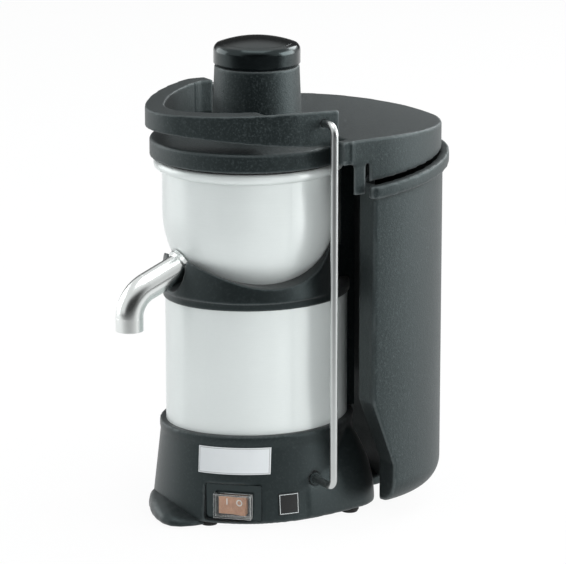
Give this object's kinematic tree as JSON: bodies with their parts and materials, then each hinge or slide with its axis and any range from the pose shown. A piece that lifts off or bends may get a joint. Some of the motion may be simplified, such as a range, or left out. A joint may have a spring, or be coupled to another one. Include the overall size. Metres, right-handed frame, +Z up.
{
  "type": "centrifugal juicer",
  "caption": "Upright commercial juicer: stainless bowl and motor housing on a black cast base, side spout, horseshoe locking bail, feed chute with pusher and rear pulp bin.",
  "frame": {"origin": "middle of the machine's plan box, on the table under the feet", "axes": "+Z up, -Y towards the spout, +Y towards the pulp container, +X towards the switch side"},
  "size_m": [0.26, 0.3374, 0.45],
  "materials": {
    "cast_black": "satin black paint on cast aluminium",
    "stainless_brushed": "fine brushed stainless sheet",
    "rubber_black": "moulded black rubber",
    "steel_plain": "plain turned steel",
    "plastic_black": "fine-grained satin black moulding",
    "plate_silver": "plain silver-white foil plate, no lettering",
    "plate_black": "plain black plate, no lettering",
    "plastic_gloss": "smooth semi-gloss black moulding",
    "rocker_amber": "amber translucent rocker",
    "cover_clear": "clear moulded splash cover",
    "aluminium_cast": "machined cast aluminium",
    "block_ivory": "ivory moulded terminal block",
    "core_steel": "stacked steel laminations",
    "stainless_polished": "polished stainless tube",
    "stainless_rod": "satin drawn stainless rod"
  },
  "bodies": {
    "machine": {"base_casting": "cast_black", "bottom_plate": "stainless_brushed", "rubber_feet": "rubber_black", "foot_screws": "steel_plain", "front_pad": "plastic_black", "name_plate": "plate_silver", "rating_plate": "plate_black", "switch_bezel": "plastic_gloss", "switch_body": "plastic_gloss", "switch_cover": "cover_clear", "pivot_bushes": "steel_plain", "inlet_gland": "plastic_black", "motor_housing": "stainless_brushed", "rear_column": "plastic_black", "run_capacitor": "aluminium_cast", "terminal_block": "block_ivory", "lower_shield": "aluminium_cast", "upper_shield": "aluminium_cast", "stator": "core_steel", "tie_bolts": "steel_plain", "ball_bearings": "steel_plain", "shaft_seal": "rubber_black", "bowl_support": "cast_black", "juice_bowl": "stainless_brushed", "bowl_gasket": "rubber_black", "spout": "stainless_polished", "spout_collar": "stainless_polished", "lid": "plastic_black", "hood": "plastic_black", "hood_ears": "plastic_black"},
    "rotor": {"motor_shaft": "steel_plain", "rotor_core": "core_steel", "cooling_fan": "plastic_black", "drive_hub": "steel_plain", "filter_basket": "stainless_brushed", "grating_disc": "stainless_brushed", "disc_nut": "steel_plain"},
    "pusher": {"pusher_body": "plastic_black", "pusher_cap": "plastic_gloss"},
    "container": {"container": "plastic_black"},
    "bail": {"bail_rods": "stainless_rod", "rod_caps": "steel_plain"},
    "handle": {"locking_handle": "plastic_black"},
    "rocker": {"rocker": "rocker_amber"}
  },
  "joints": [
    {"name": "rotor_spin", "type": "hinge", "parent": "machine", "child": "rotor", "pos_m": [0, -0.02875, 0.26], "axis": [0, 0, 1], "continuous": true},
    {"name": "pusher_lift", "type": "slide", "parent": "machine", "child": "pusher", "axis": [0, 0, 1], "range_m": [0, 0.15]},
    {"name": "container_slide", "type": "slide", "parent": "machine", "child": "container", "axis": [0, 1, 0], "range_m": [0, 0.15]},
    {"name": "bail_swing", "type": "hinge", "parent": "machine", "child": "bail", "pos_m": [0, -0.00645, 0.0425], "axis": [1, 0, 0], "range_deg": [0, 70]},
    {"name": "handle_lever", "type": "hinge", "parent": "bail", "child": "handle", "pos_m": [0, -0.00645, 0.384], "axis": [-1, 0, 0], "range_deg": [0, 50]},
    {"name": "rocker_tilt", "type": "hinge", "parent": "machine", "child": "rocker", "pos_m": [0.05863, -0.07706, 0.022], "axis": [0, 0, 1], "range_deg": [0, 16]}
  ]
}
